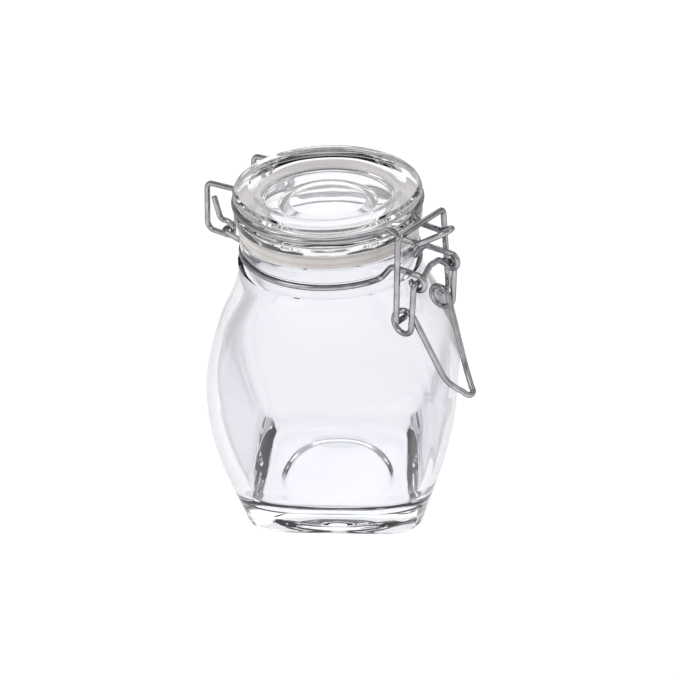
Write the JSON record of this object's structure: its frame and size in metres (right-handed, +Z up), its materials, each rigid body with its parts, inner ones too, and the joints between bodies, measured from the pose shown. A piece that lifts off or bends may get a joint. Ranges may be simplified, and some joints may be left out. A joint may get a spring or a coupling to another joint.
{
  "type": "lidded glass canister",
  "caption": "Small square-bellied clear glass canister with a glass lid, rubber ring and a wire clip-top latch and hinge.",
  "frame": {"origin": "on the jar's axis, on the flat underside of the base", "axes": "+Z up along the jar's axis, the latch at -Y and the lid hinge at +Y, X along the hinge axes"},
  "size_m": [0.0892, 0.0972, 0.108],
  "materials": {
    "glass": "clear pressed glass, smooth",
    "rubber": "matte grey-beige rubber",
    "wire": "bright drawn steel wire"
  },
  "bodies": {
    "jar_body": {"jar": "glass", "neck_wire": "wire"},
    "lid_body": {"lid": "glass", "gasket": "rubber", "lid_wire": "wire"},
    "lever_body": {"lever": "wire"},
    "bail_body": {"bail": "wire"}
  },
  "joints": [
    {"name": "lid_hinge", "type": "hinge", "parent": "jar_body", "child": "lid_body", "pos_m": [0, 0.031, 0.0891], "axis": [-1, 0, 0], "range_deg": [0, 95]},
    {"name": "lever_hinge", "type": "hinge", "parent": "jar_body", "child": "lever_body", "pos_m": [0, -0.039, 0.0905], "axis": [-1, 0, 0], "range_deg": [0, 100]},
    {"name": "bail_hinge", "type": "hinge", "parent": "lever_body", "child": "bail_body", "pos_m": [0, -0.0344, 0.0779], "axis": [-1, 0, 0], "range_deg": [-50, 0]}
  ],
  "couplings": [
    {"joint": "bail_hinge", "follows": "lever_hinge", "ratio": -0.5}
  ]
}
